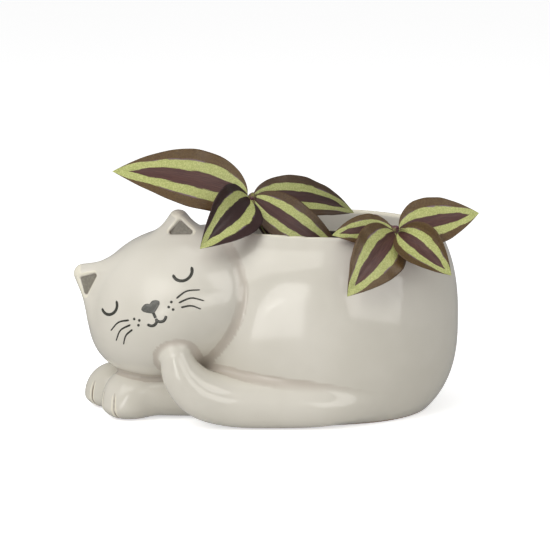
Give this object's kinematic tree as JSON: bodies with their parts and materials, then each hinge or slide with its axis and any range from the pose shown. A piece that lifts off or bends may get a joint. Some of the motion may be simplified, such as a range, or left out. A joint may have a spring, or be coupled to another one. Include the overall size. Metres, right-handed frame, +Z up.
{
  "type": "animal shaped planter",
  "caption": "Glazed ceramic planter shaped as a curled-up sleeping cat, with an open oval bowl that holds a lift-out grow pot, soil and a striped trailing houseplant.",
  "frame": {"origin": "on the flat base, under the middle of the bowl's mouth", "axes": "+X to the viewer's right along the bowl, away from the head; +Y to the back; +Z up"},
  "size_m": [0.2048, 0.1227, 0.1382],
  "materials": {
    "glazed_body": "glossy",
    "face_paint": "glossy",
    "ear_paint": "satin",
    "pot_plastic": "matte",
    "soil": "rough",
    "leaf": "satin",
    "stem": "satin"
  },
  "bodies": {
    "planter": {"cat_planter": "glazed_body", "left_cheek_dots": "face_paint", "left_ear_patch": "ear_paint", "left_eye_line": "face_paint", "left_whiskers": "face_paint", "mouth_line": "face_paint", "nose": "face_paint", "right_cheek_dots": "face_paint", "right_ear_patch": "ear_paint", "right_eye_line": "face_paint", "right_whiskers": "face_paint"},
    "potted_plant": {"grow_pot": "pot_plastic", "left_back_leaf": "leaf", "left_front_leaf": "leaf", "left_inner_leaf": "leaf", "left_long_leaf": "leaf", "left_middle_leaf": "leaf", "left_sprout": "leaf", "left_stem": "stem", "potting_soil": "soil", "right_front_leaf": "leaf", "right_hanging_leaf": "leaf", "right_outer_leaf": "leaf", "right_rim_leaf": "leaf", "right_sprout": "leaf", "right_stem": "stem"}
  },
  "joints": [
    {"name": "plant_lift", "type": "slide", "parent": "planter", "child": "potted_plant", "axis": [0, 0, 1], "range_m": [0, 0.12]}
  ]
}
